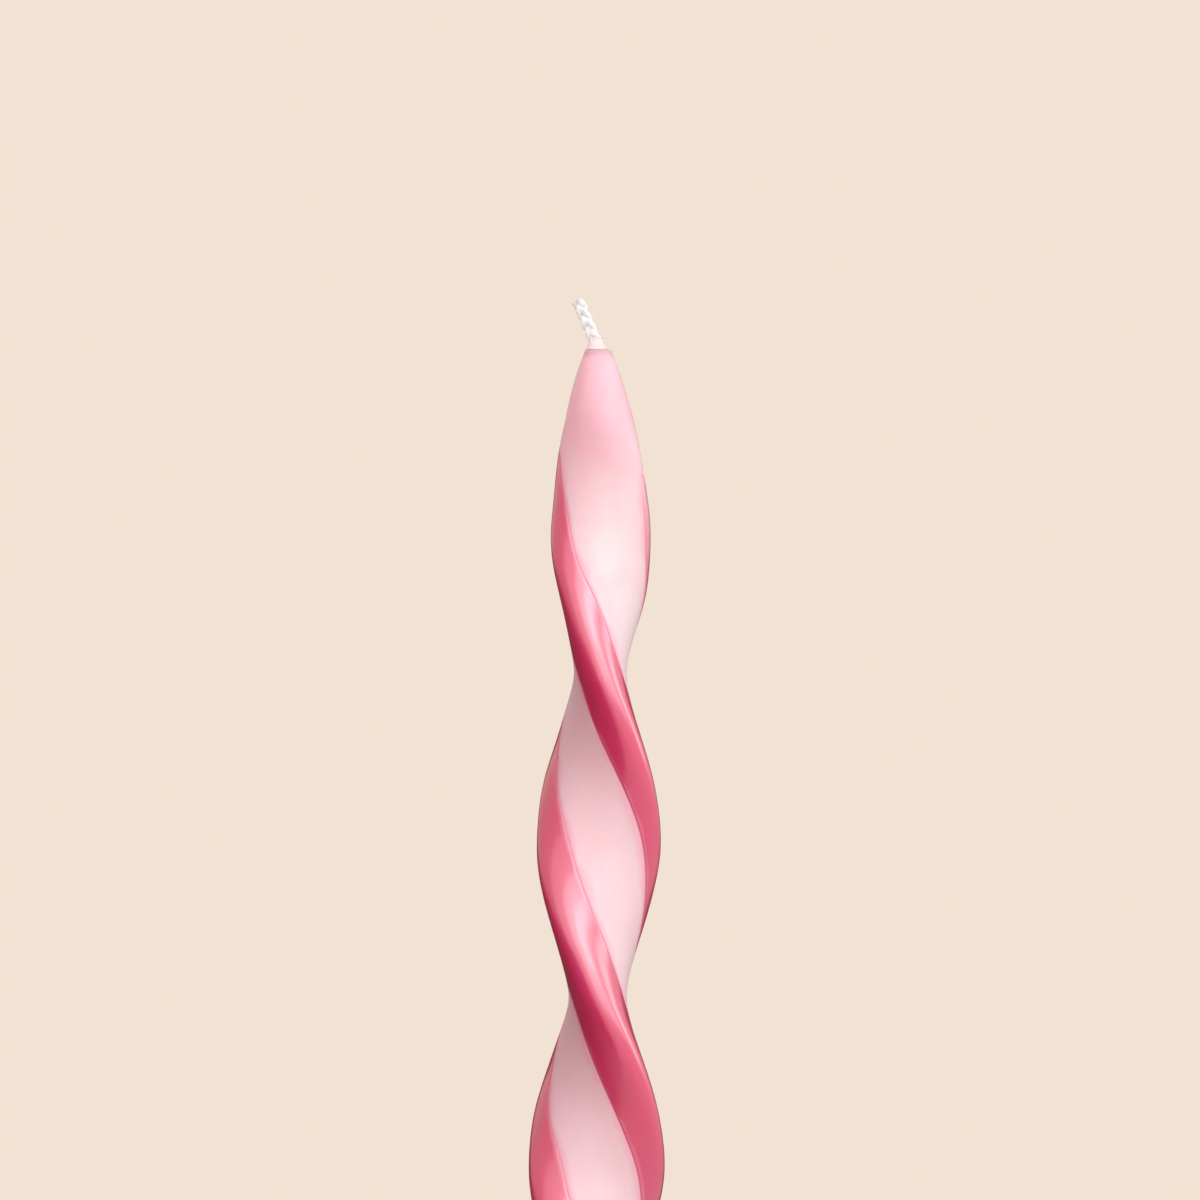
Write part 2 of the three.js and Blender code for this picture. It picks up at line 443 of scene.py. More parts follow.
@dataclass(frozen=True)
class Strip:
    """Where one dark strip lies: its edge of the section, its width and its two tongues."""

    name: str
    side: float
    wrap: float
    start: float
    start_run: float
    start_power: float
    end: float
    end_run: float = 30 * MM
    end_power: float = 0.3
    round_run: float = 4.0 * MM
    depth: float = 1.0 * MM
    margin_depth: float = 0.14 * MM
    thin_share: float = 0.25
    tongue_wrap: float = 3.0
    strays: tuple[Stray, ...] = ()

    def height_of(self, end: End, form: TaperForm) -> float:
        """The height of one of the strip's ends."""
        return form.height - self.start if end is End.UPPER else self.end

    def share(self, z: float, form: TaperForm) -> float:
        """How full the strip is at height z: 1 along its middle, and less in its tongues.

        Args:
            z: The height above the base.
            form: The candle's form.

        Returns:
            The share, 0 at and beyond the ends.
        """
        below_top = self.height_of(End.UPPER, form) - z
        above_end = z - self.height_of(End.LOWER, form)
        from_top = np.clip(below_top / self.start_run, 0, 1) ** self.start_power
        from_end = np.clip(above_end / self.end_run, 0, 1) ** self.end_power
        rounded = np.clip(min(below_top, above_end) / self.round_run, 0, 1) ** 0.5
        return float(min(from_top, from_end) * rounded)

    def reach(self, z: float, form: TaperForm) -> tuple[float, float]:
        """Where the strip's two margins lie.

        Args:
            z: The height above the base.
            form: The candle's form.

        Returns:
            How far the earlier and the later margin are from the strip's edge of the section, in
            radians.
        """
        full = self.share(z, form)
        even = math.radians(max(self.tongue_wrap, self.wrap * full))
        strayed = [sum(stray.at(z, margin) for stray in self.strays) * full for margin in Margin]
        return even + strayed[0], even + strayed[1]

    def to_margin(self, z: float, form: TaperForm, angles: Array) -> Array:
        """The distance along the skin to the strip's nearer margin.

        Args:
            z: The height above the base.
            form: The candle's form.
            angles: Angles round the section, within the strip.

        Returns:
            The distances.
        """
        middle = math.radians(self.side)
        earlier, later = self.reach(z, form)
        before = form.arc(z, middle - earlier, angles)
        after = form.arc(z, angles, middle + later)
        return np.minimum(before, after)

    def side_gap(self, form: TaperForm, z: float, angles: Array) -> Array:
        """The distance along the skin, to either side, from the tongue's width at an end.

        Args:
            form: The candle's form.
            z: A height beyond the end.
            angles: Angles round the section.

        Returns:
            The distances, 0 straight beyond the end.
        """
        middle, half = math.radians(self.side), math.radians(self.tongue_wrap)
        away = np.abs((angles - middle + math.pi) % (2 * math.pi) - math.pi)
        return form.arc(z, half, np.maximum(away, half))

    def thickness(self, z: float, across: Array, form: TaperForm) -> Array:
        """The strip's thickness at height z.

        Args:
            z: The height above the base.
            across: Where across the strip, from -1 to 1 at its margins.
            form: The candle's form.

        Returns:
            The thickness at each place.
        """
        full = max(self.share(z, form), self.thin_share)
        return (self.margin_depth + (self.depth - self.margin_depth) * (1 - across**2)) * full


@dataclass(frozen=True)
class Fit:
    """How closely the fine meshes lie together, and how fine they are."""

    seam: float = 0.012 * MM
    ring_step: float = 0.7 * MM
    strip_segments: int = 30
    face_segments: int = 34
    edge_coat: float = 2.0 * MM
    face_coat: float = 1.3 * MM
    core_cover: float = 5.4 * MM
    core_step: float = 2.5 * MM

    @property
    def across(self) -> Array:
        """Places across a strip, from -1 to 1 at its margins, which crowd towards both."""
        return 2 * crowded(self.strip_segments) - 1


def ring_heights(low: float, high: float, step: float, marks: list[float]) -> list[float]:
    """Heights for the rings of a mesh.

    Args:
        low: The lowest ring.
        high: The highest ring.
        step: The largest distance between rings.
        marks: Heights that get a ring of their own where they lie between the two.

    Returns:
        The heights from low to high.
    """
    apart = step / 20
    keys = [low] + sorted(m for m in marks if low + apart < m < high - apart) + [high]
    heights = [low]
    for a, b in zip(keys, keys[1:]):
        parts = max(1, math.ceil((b - a) / step))
        heights += [a + (b - a) * (i + 1) / parts for i in range(parts)]
    return heights


def near_ends(strips: tuple[Strip, ...], form: TaperForm) -> list[float]:
    """Heights that crowd towards the strips' ends, where their outline turns fastest.

    Args:
        strips: The strips.
        form: The candle's form.

    Returns:
        The heights.
    """
    run, count = 3 * MM, 8
    marks = []
    for strip in strips:
        for end in End:
            inward = -run if end is End.UPPER else run
            tip = strip.height_of(end, form)
            marks += [tip + inward * (i / count) ** 3 for i in range(count + 1)]
    return marks


# The pieces of wax.


@dataclass(frozen=True)
class Jacket:
    """The pale jacket: its skin with a groove for each strip, its top and its hollow."""

    form: TaperForm
    strips: tuple[Strip, ...]
    wick: BraidedWick
    fit: Fit = Fit()
    beyond_wrap: float = 34.0
    beyond_run: float = 14 * MM
    shoulder: float = 0.5 * MM
    dome: float = 0.1 * MM
    dome_rings: int = 9
    hole_rings: int = 4

    def layout(self, strip: Strip, z: float) -> tuple[float, float]:
        """A strip's stretch of the ring, also beyond the strip's ends.

        Args:
            strip: The strip.
            z: The height above the base.

        Returns:
            The angles where the stretch starts and stops, in radians.
        """
        middle = math.radians(strip.side)
        wide = math.radians(self.beyond_wrap) * smooth(self.beyond(strip, z), 0, self.beyond_run)
        earlier, later = strip.reach(z, self.form)
        return middle - max(earlier, wide), middle + max(later, wide)

    def beyond(self, strip: Strip, z: float) -> float:
        """How far height z is beyond a strip's nearer end, or 0 between its ends."""
        above = z - strip.height_of(End.UPPER, self.form)
        return max(above, strip.height_of(End.LOWER, self.form) - z, 0)

    def to_strip(self, strip: Strip, z: float, angles: Array, margin: float) -> Array:
        """The distance over the skin from places beside or beyond a strip to the strip.

        Args:
            strip: The strip.
            z: The height of the places.
            angles: Their angles round the section.
            margin: The angle of the strip's margin on their side.

        Returns:
            The distances.
        """
        if strip.share(z, self.form) > 0:
            return self.form.arc(z, margin, angles)
        return np.hypot(self.beyond(strip, z), strip.side_gap(self.form, z, angles))

    def stations(self, z: float) -> tuple[Array, Array, Array]:
        """The stations of the skin's ring at height z.

        Args:
            z: The height above the base.

        Returns:
            Each station's angle, its depth below the skin, and its distance from the nearest
            strip's margin.
        """
        form, fit = self.form, self.fit
        angles, depths, margins = [], [], []
        first, second = self.strips
        for here, after in ((first, second), (second, first)):
            earlier, start = self.layout(here, z)
            band = blend(earlier, start, (1 + fit.across) / 2)
            if here.share(z, form) > 0:
                crease = form.crease(here.to_margin(z, form, band), strip_side=True)
                depths.append(here.thickness(z, fit.across, form) + fit.seam + crease)
                margins.append(np.zeros_like(band))
            else:
                margins.append(self.to_strip(here, z, band, start))
                depths.append(form.crease(margins[-1]))
            stop = self.layout(after, z)[0] + 2 * math.pi * (after.side < here.side)
            face = blend(start, stop, crowded(fit.face_segments))
            to_strips = ((here, start), (after, stop))
            margins.append(np.minimum(*(self.to_strip(s, z, face, t) for s, t in to_strips)))
            depths.append(form.crease(margins[-1]))
            angles += [band, face]
        return tuple(np.concatenate(row) for row in (angles, depths, margins))

    def build(self) -> bpy.types.Object:
        """Builds the jacket from the base up the skin, over the top and down inside.

        Returns:
            The jacket.
        """
        form, fit = self.form, self.fit
        mesh = Mesh("pale_jacket_wax")
        marks = [form.foot_rim * (1 - math.cos(a)) for a in ROUNDING] + near_ends(self.strips, form)
        ends = [strip.height_of(end, form) for strip in self.strips for end in End]
        marks += [z + slack for z in ends for slack in (-fit.seam, fit.seam)]
        rings = []
        for z in ring_heights(0.0, form.height - self.shoulder, fit.ring_step, marks):
            angles, depths, margins = self.stations(z)
            inset = depths + form.rim_inset(z)
            points = form.points(z, angles, inset, inset)
            rings.append(self.add_ring(mesh, points, angles, z, margins))
        rings += self.over_the_top(mesh, angles)
        rings += self.inside(mesh, angles)
        mesh.skin(rings, endless=True)
        return mesh.finish()

    def add_ring(
        self, mesh: Mesh, points: Array, angles: Array, z: float, margins: Values = FAR
    ) -> Array:
        """Adds one ring with the values that its finish reads.

        Args:
            mesh: The jacket's mesh.
            points: The ring's points.
            angles: The ring's angles round the section.
            z: The ring's height.
            margins: Each point's distance from the nearest strip's margin.

        Returns:
            The ring's indices.
        """
        margin = np.full_like(angles, margins) / MM
        return mesh.add(points, flow=self.form.flow(z, angles), margin=margin)

    def circle(self, radius: float, z: float, angles: Array) -> Array:
        """A round ring of points about the candle's middle line at height z."""
        return rows_of(radius * np.cos(angles) + self.form.sway.at(z), radius * np.sin(angles), z)

    def over_the_top(self, mesh: Mesh, angles: Array) -> list[Array]:
        """Rings round the shoulder and over the low dome to the wick.

        Args:
            mesh: The jacket's mesh.
            angles: The angles of the highest ring of the skin.

        Returns:
            The rings' indices.
        """
        form = self.form
        start = form.height - self.shoulder
        radius = float(form.half_sizes(start)[0])
        turned = angles + float(form.twist(start))
        rings = []
        for turn in ROUNDING[1:]:
            z = start + self.shoulder * math.sin(turn)
            ring = self.circle(radius - self.shoulder * (1 - math.cos(turn)), z, turned)
            rings.append(self.add_ring(mesh, ring, angles, z))
        for share in np.linspace(0.0, 1.0, self.dome_rings + 1)[1:]:
            z = form.height + self.dome * float(smooth(share, 0.0, 0.5))
            rim = self.circle(radius - self.shoulder, z, turned)
            hole = self.wick.ring(z, turned, self.fit.seam)
            rings.append(self.add_ring(mesh, blend(rim, hole, share), angles, z))
        return rings

    def inside(self, mesh: Mesh, angles: Array) -> list[Array]:
        """Rings down the wick's hole and the core's hollow to the base.

        Args:
            mesh: The jacket's mesh.
            angles: The angles of the highest ring of the skin.

        Returns:
            The rings' indices, from the top down.
        """
        form, fit = self.form, self.fit
        ceiling = form.height - fit.core_cover
        turned = angles + float(form.twist(form.height))
        rings = []
        for z in np.linspace(form.height, ceiling, self.hole_rings):
            rings.append(self.add_ring(mesh, self.wick.ring(z, turned, fit.seam), angles, z))
        for z in reversed(ring_heights(0.0, ceiling, fit.core_step, [])):
            here = self.stations(z)[0]
            points = form.points(z, here, fit.edge_coat, fit.face_coat)
            rings.append(self.add_ring(mesh, points, here, z))
        return rings


@dataclass(frozen=True)
class StripPiece:
    """One dark strip: a long crescent of wax that fills its groove flush with the skin."""

    form: TaperForm
    strip: Strip
    fit: Fit = Fit()
    thin_span: Span = (0.15, 0.75)

    def build(self, neighbours: tuple[Strip, ...]) -> bpy.types.Object:
        """Builds the strip.

        Args:
            neighbours: Both strips, so that the rings lie at the jacket's own heights.

        Returns:
            The strip.
        """
        form, fit, strip = self.form, self.fit, self.strip
        low, high = strip.height_of(End.LOWER, form), strip.height_of(End.UPPER, form)
        mesh = Mesh(strip.name + "_wax")
        rings = []
        for z in ring_heights(low, high, fit.ring_step, near_ends(neighbours, form)):
            earlier, later = strip.reach(z, form)
            middle = math.radians(strip.side) + (later - earlier) / 2
            half = (earlier + later) / 2
            edge, face, _ = form.half_sizes(z)
            slack = fit.seam / float(np.hypot(edge * math.sin(half), face * math.cos(half)))
            angles = middle + (half - slack) * fit.across
            margins = strip.to_margin(z, form, angles)
            dip = form.crease(margins, strip_side=True)
            bed = strip.thickness(z, fit.across, form) + dip
            outside, inside = (form.points(z, angles, inset, inset) for inset in (dip, bed))
            thin = float(smooth(1 - strip.share(z, form), *self.thin_span))
            flow = form.flow(z, angles, thin)
            rings.append(
                mesh.add(
                    np.concatenate([outside, inside[::-1]]),
                    flow=np.concatenate([flow, flow[::-1]]),
                    margin=np.concatenate([margins, margins[::-1]]) / MM,
                )
            )
        mesh.skin(rings, endless=False)
        return mesh.finish()


@dataclass(frozen=True)
class Core:
    """The white core, with the wick's channel through it."""

    form: TaperForm
    wick: BraidedWick
    fit: Fit = Fit()
    segments: int = 96

    def build(self) -> bpy.types.Object:
        """Builds the core from the base up its outside and down its channel.

        Returns:
            The core.
        """
        form, fit = self.form, self.fit
        heights = ring_heights(0.0, form.height - fit.core_cover - fit.seam, fit.core_step, [])
        insets = fit.edge_coat + fit.seam, fit.face_coat + fit.seam
        angles = full_turn(self.segments)
        mesh = Mesh("white_core_wax")
        rings = [mesh.add(form.points(z, angles, *insets)) for z in heights]
        for z in reversed(heights):
            rings.append(mesh.add(self.wick.ring(z, angles + float(form.twist(z)), fit.seam)))
        mesh.skin(rings, endless=True)
        return mesh.finish()


@dataclass(frozen=True)
class Collar:
    """The collar of white wax that climbs the wick where it leaves the candle."""

    form: TaperForm
    wick: BraidedWick
    fit: Fit = Fit()
    lift: float = 0.1 * MM
    height: float = 1.9 * MM
    inner_height: float = 0.97
    foot_spread: float = 0.75 * MM
    foot_shift: float = -0.35 * MM
    top_spread: float = 0.05 * MM
    climb_power: float = 2.2
    lobes: int = 3
    raggedness: float = 0.12
    segments: int = 72
    outer_rings: int = 13
    inner_rings: int = 7

    def build(self) -> bpy.types.Object:
        """Builds the collar up its outside and down against the wick.

        Returns:
            The collar.
        """
        mesh = Mesh("wick_collar_wax")
        angles = full_turn(self.segments)
        lobed = self.raggedness * np.sin(self.lobes * angles + 1.0)
        foot = self.form.height + self.lift + self.fit.seam
        rings = []
        for share in np.linspace(0, 1, self.outer_rings):
            climbed = rise(share, self.climb_power)
            spread = blend(self.foot_spread, self.top_spread, climbed)
            z = foot + self.height * share * (1 + lobed * share)
            shift = self.foot_shift * (1 - climbed)
            rings.append(mesh.add(self.wick.ring(z, angles, spread, shift)))
        for share in np.linspace(1, 0, self.inner_rings):
            z = foot + self.height * share * self.inner_height
            rings.append(mesh.add(self.wick.ring(z, angles, self.fit.seam)))
        mesh.skin(rings, endless=True)
        return mesh.finish(sharp_from=60.0)


# The wick.


@dataclass(frozen=True)
class BraidedWick:
    """A flat braid, which runs up the candle's axis and leans over above the wax."""

    recess: float = 0.5 * MM
    wax_top: float = 280 * MM
    half_width: float = 1.18 * MM
    half_thickness: float = 0.62 * MM
    bundles: int = 3
    bundle_half_width: float = 0.63 * MM
    bundle_half_thickness: float = 0.32 * MM
    pitch: float = 6.0 * MM
    yarns: int = 4
    yarn_relief: float = 0.05
    yarn_turns_per_mm: float = 0.275
    stub: float = 9.75 * MM
    lean: float = 23.5
    bend_radius: float = 4 * MM
    bend_start: float = -0.5 * MM
    steps_per_mm: int = 5
    section_points: int = 16
    sway: Sway = Sway()

    @property
    def bend_height(self) -> float:
        """The height where the bend starts."""
        return self.wax_top + self.bend_start

    def spine(self, s: float) -> tuple[Array, Array, Array]:
        """The braid's middle line.

        Args:
            s: The distance along it from the trimmed lower end.

        Returns:
            The point, the direction of travel and the direction of the braid's width.
        """
        straight = self.bend_height - self.recess
        angle = min(max(s - straight, 0) / self.bend_radius, math.radians(self.lean))
        beyond = max(s - straight - self.bend_radius * angle, 0)
        ahead = np.array([-math.sin(angle), 0, math.cos(angle)])
        aside = np.array([math.cos(angle), 0, math.sin(angle)])
        height = self.recess + min(s, straight)
        start = np.array([self.sway.at(height), 0, height])
        bend = self.bend_radius * np.array([math.cos(angle) - 1, 0, math.sin(angle)])
        return start + bend + ahead * beyond, ahead, aside

    @property
    def length(self) -> float:
        """The braid's whole length."""
        return self.bend_height - self.recess + self.stub

    def middle(self, z: Values) -> Values:
        """The x of the braid's middle, near the top of the wax or below.

        Args:
            z: The height above the base.

        Returns:
            The x at each height.
        """
        climbed = np.maximum(z - self.bend_height, 0) / self.bend_radius
        lean = np.minimum(climbed, math.sin(math.radians(self.lean)))
        return self.sway.at(z) - self.bend_radius * (1 - np.sqrt(1 - lean * lean))

    def ring(self, z: Values, angles: Array, spread: float, shift: float = 0.0) -> Array:
        """A ring of points round the braid, near the top of the wax or below.

        Args:
            z: The height of each point, or of all of them.
            angles: The points' angles round the braid.
            spread: How far the ring stands off the braid.
            shift: How far the ring lies towards +X from the braid's middle.

        Returns:
            Rows of x, y, z.
        """
        x = self.middle(z) + shift + (self.half_width + spread) * np.cos(angles)
        y = (self.half_thickness + spread) * np.sin(angles)
        return rows_of(x, y, z)

    def bundle_centre(self, s: float, which: int) -> Array:
        """The middle of one bundle.

        Args:
            s: The distance along the braid.
            which: The bundle's number, from 0.

        Returns:
            The point.
        """
        point, _, aside = self.spine(s)
        phase = 2 * math.pi * (s / self.pitch + which / self.bundles)
        swing = (self.half_width - self.bundle_half_width) * math.sin(phase)
        weave = (self.half_thickness - self.bundle_half_thickness) * math.sin(2 * phase)
        return point + aside * swing + np.array([0, weave, 0])

    def build(self) -> bpy.types.Object:
        """Builds the bundles as one object.

        Returns:
            The wick.
        """
        mesh = Mesh("braided_wick")
        count = round(self.length / MM * self.steps_per_mm)
        places = [self.length * i / count for i in range(count + 1)]
        around = full_turn(self.section_points)
        for which in range(self.bundles):
            rings = [self.add_section(mesh, s, which, around) for s in places]
            mesh.skin(rings, endless=False)
        return mesh.finish(sharp_from=60.0)

    def add_section(self, mesh: Mesh, s: float, which: int, around: Array) -> Array:
        """Adds one section of one bundle, fluted by the yarns that it is laid from.

        Args:
            mesh: The wick's mesh.
            s: The distance along the braid.
            which: The bundle's number, from 0.
            around: The angles round the section.

        Returns:
            The section's indices.
        """
        small = 0.02 * MM  # a step along the braid, to find its direction
        centre = self.bundle_centre(s, which)
        ahead = self.bundle_centre(s + small, which) - self.bundle_centre(s - small, which)
        ahead = ahead / np.linalg.norm(ahead)
        aside = np.cross([0.0, 1.0, 0.0], ahead)
        aside = aside / np.linalg.norm(aside)
        through = np.cross(ahead, aside)
        lay = self.yarns * (around + 2 * math.pi * self.yarn_turns_per_mm * s / MM)
        flute = 1 - self.yarn_relief * (0.5 + 0.5 * np.cos(lay))
        # The section runs anticlockwise round the direction of travel.
        wide = self.bundle_half_width * flute * np.cos(around)
        thick = self.bundle_half_thickness * flute * np.sin(around)
        points = centre + wide[:, None] * aside + thick[:, None] * through
        spine, _, outwards = self.spine(s)
        return mesh.add(
            points,
            flow=rows_of(around, s / MM, float(which)),
            flute=flute,
            across=np.abs((points - spine) @ outwards) / self.half_width,
        )


# Finishes.


class Sheet:
    """A node tree under construction."""

    def __init__(self, tree: bpy.types.NodeTree) -> None:
        """Wraps a tree and empties it.

        Args:
            tree: The tree to fill.
        """
        self.tree = tree
        tree.nodes.clear()

    def add(
        self, kind: str, settings: dict[str, object] | None = None, **inputs: object
    ) -> bpy.types.Node:
        """Adds a node.

        Args:
            kind: The node's type, without its ShaderNode prefix.
            settings: The node's own properties.
            **inputs: Values or sockets for its inputs, by name with _ for a space, or i0, i1 and so
                on by place.

        Returns:
            The node.
        """
        prefix = "" if kind.startswith("Node") else "ShaderNode"
        node = self.tree.nodes.new(prefix + kind)
        for name, value in (settings or {}).items():
            setattr(node, name, value)
        for name, value in inputs.items():
            by_place = name[0] == "i" and name[1:].isdigit()
            socket = node.inputs[int(name[1:])] if by_place else node.inputs[name.replace("_", " ")]
            self.feed(socket, value)
        return node

    def feed(self, socket: Socket, value: object) -> None:
        """Sets a socket to a value, or links another socket to it.

        Args:
            socket: The socket to feed.
            value: A number, a colour, a vector or an output socket.
        """
        if isinstance(value, Socket):
            self.tree.links.new(value, socket)
        elif isinstance(value, tuple) and socket.type == "RGBA":
            socket.default_value = (*value, 1.0)
        else:
            socket.default_value = value

    def math(self, operation: str, *values: object) -> Socket:
        """Adds a math node and returns its output."""
        inputs = {f"i{place}": value for place, value in enumerate(values)}
        return self.add("Math", {"operation": operation}, **inputs).outputs[0]

    def ramp(
        self, value: object, span: Span, to: Span = (0.0, 1.0), even: bool = False
    ) -> Socket:
        """Adds a clamped change of range and returns its output.

        Args:
            value: The value to change.
            span: Where the change starts and where it ends.
            to: The output at the two.
            even: True changes in a straight line, and False with level ends.

        Returns:
            The changed value's socket.
        """
        settings = {"interpolation_type": "LINEAR" if even else "SMOOTHSTEP", "clamp": True}
        inputs = {"From_Min": span[0], "From_Max": span[1], "To_Min": to[0], "To_Max": to[1]}
        return self.add("MapRange", settings, Value=value, **inputs).outputs["Result"]

    def mix(self, share: object, a: object, b: object, blend_type: str = "MIX") -> Socket:
        """Adds a colour mix and returns its output.

        Args:
            share: How much of b.
            a: The first colour.
            b: The second colour.
            blend_type: How the two are mixed.

        Returns:
            The mixed colour's socket.
        """
        node = self.add("Mix", {"data_type": "RGBA", "blend_type": blend_type})
        self.feed(node.inputs[0], share)
        self.feed(node.inputs[6], a)
        self.feed(node.inputs[7], b)
        return node.outputs[2]

    def noise(
        self, vector: object, scale: float, detail: float = 3.0, roughness: float = 0.5
    ) -> Socket:
        """Adds a noise texture and returns its value, from 0 to 1.

        Args:
            vector: The place to read.
            scale: How fine the noise is.
            detail: How many finer layers it has.
            roughness: How strong they are.

        Returns:
            The noise's socket.
        """
        inputs = {"Vector": vector, "Scale": scale, "Detail": detail, "Roughness": roughness}
        return self.add("TexNoise", None, **inputs).outputs["Fac"]

    def attribute(self, name: str, output: str = "Fac") -> Socket:
        """Reads one of the mesh's own values."""
        settings = {"attribute_type": "GEOMETRY", "attribute_name": name}
        return self.add("Attribute", settings).outputs[output]

    def parts(self, vector: object) -> bpy.types.bpy_prop_collection:
        """Splits a vector and returns its X, Y and Z outputs."""
        return self.add("SeparateXYZ", None, Vector=vector).outputs

    def scaled(self, vector: object, scale: object) -> Socket:
        """Scales a vector and returns the output."""
        settings = {"operation": "SCALE"}
        return self.add("VectorMath", settings, Vector=vector, Scale=scale).outputs[0]

    def group(self, tree: bpy.types.NodeTree, **inputs: object) -> bpy.types.bpy_prop_collection:
        """Places a node group and returns its outputs."""
        return self.add("Group", {"node_tree": tree}, **inputs).outputs

    def bump(self, height: object, distance: float) -> Socket:
        """Adds a bump that is distance high and returns its normal."""
        return self.add("Bump", None, Strength=1.0, Distance=distance, Height=height).outputs[0]

    def surface(self, **inputs: object) -> None:
        """Adds a Principled shader with these inputs and makes it the material's surface."""
        shader = self.add("BsdfPrincipled", None, **inputs)
        self.add("OutputMaterial", None, Surface=shader.outputs[0])


def new_material(name: str) -> tuple[bpy.types.Material, Sheet]:
    """Starts a material.

    Args:
        name: The material's name.

    Returns:
        The material and its empty sheet.
    """
    material = bpy.data.materials.new(name)
    material.use_nodes = True
    return material, Sheet(material.node_tree)


def new_group(
    name: str, inputs: dict[str, tuple[str, object]], outputs: dict[str, str]
) -> tuple[Sheet, bpy.types.Node, bpy.types.Node]:
    """Starts a shader node group.

    Args:
        name: The group's name.
        inputs: Each input's kind and its value when nothing is linked, by name.
        outputs: Each output's kind, by name.

    Returns:
        The group's sheet, its input node and its output node.
    """
    tree = bpy.data.node_groups.new(name, "ShaderNodeTree")
    for label, (kind, value) in inputs.items():
        kind = "NodeSocket" + kind
        socket = tree.interface.new_socket(name=label, in_out="INPUT", socket_type=kind)
        if value is not None:
            socket.default_value = value
    for label, kind in outputs.items():
        kind = "NodeSocket" + kind
        tree.interface.new_socket(name=label, in_out="OUTPUT", socket_type=kind)
    sheet = Sheet(tree)
    return sheet, sheet.add("NodeGroupInput"), sheet.add("NodeGroupOutput")


def streaks_group() -> bpy.types.NodeTree:
    """Fine streaks that the rolled and twisted wax shows along its length.

    Returns:
        The group. It puts out a height and a tone, both about 0.5 on average.
    """
    inputs = {"Flow": ("Vector", None), "Density": ("Float", 1500.0), "Stretch": ("Float", 0.06)}
    sheet, given, out = new_group("wax_streaks", inputs, {"Height": "Float", "Tone": "Float"})
    parts = sheet.parts(given.outputs["Flow"])
    along = sheet.math("MULTIPLY", parts["Y"], given.outputs["Stretch"])
    place = sheet.add("CombineXYZ", None, X=parts["X"], Y=along, Z=parts["Z"]).outputs[0]
    place = sheet.scaled(place, given.outputs["Density"])
    fine = sheet.noise(place, scale=1.0, detail=3.0, roughness=0.55)
    broad = sheet.noise(place, scale=0.23, detail=2.0)
    broad_share = 0.6
    shares = (fine, 1 - broad_share), (broad, broad_share)
    height = sheet.math("ADD", *(sheet.math("MULTIPLY", tone, share) for tone, share in shares))
    sheet.feed(out.inputs["Height"], height)
    sheet.feed(out.inputs["Tone"], broad)
    return sheet.tree


def mottle_group() -> bpy.types.NodeTree:
    """The cloudy mottling and the fine dimples of cooled wax.

    Returns:
        The group. It puts out a cloud tone and a dimple height, both about 0.5 on average.
    """
    inputs = {"Size": ("Float", 1.0)}
    sheet, given, out = new_group("wax_mottle", inputs, {"Cloud": "Float", "Dimple": "Float"})
    place = sheet.scaled(sheet.add("TexCoord").outputs["Object"], given.outputs["Size"])
    sheet.feed(out.inputs["Cloud"], sheet.noise(place, scale=130.0, detail=2.0, roughness=0.6))
    sheet.feed(out.inputs["Dimple"], sheet.noise(place, scale=900.0, detail=2.0))
    return sheet.tree


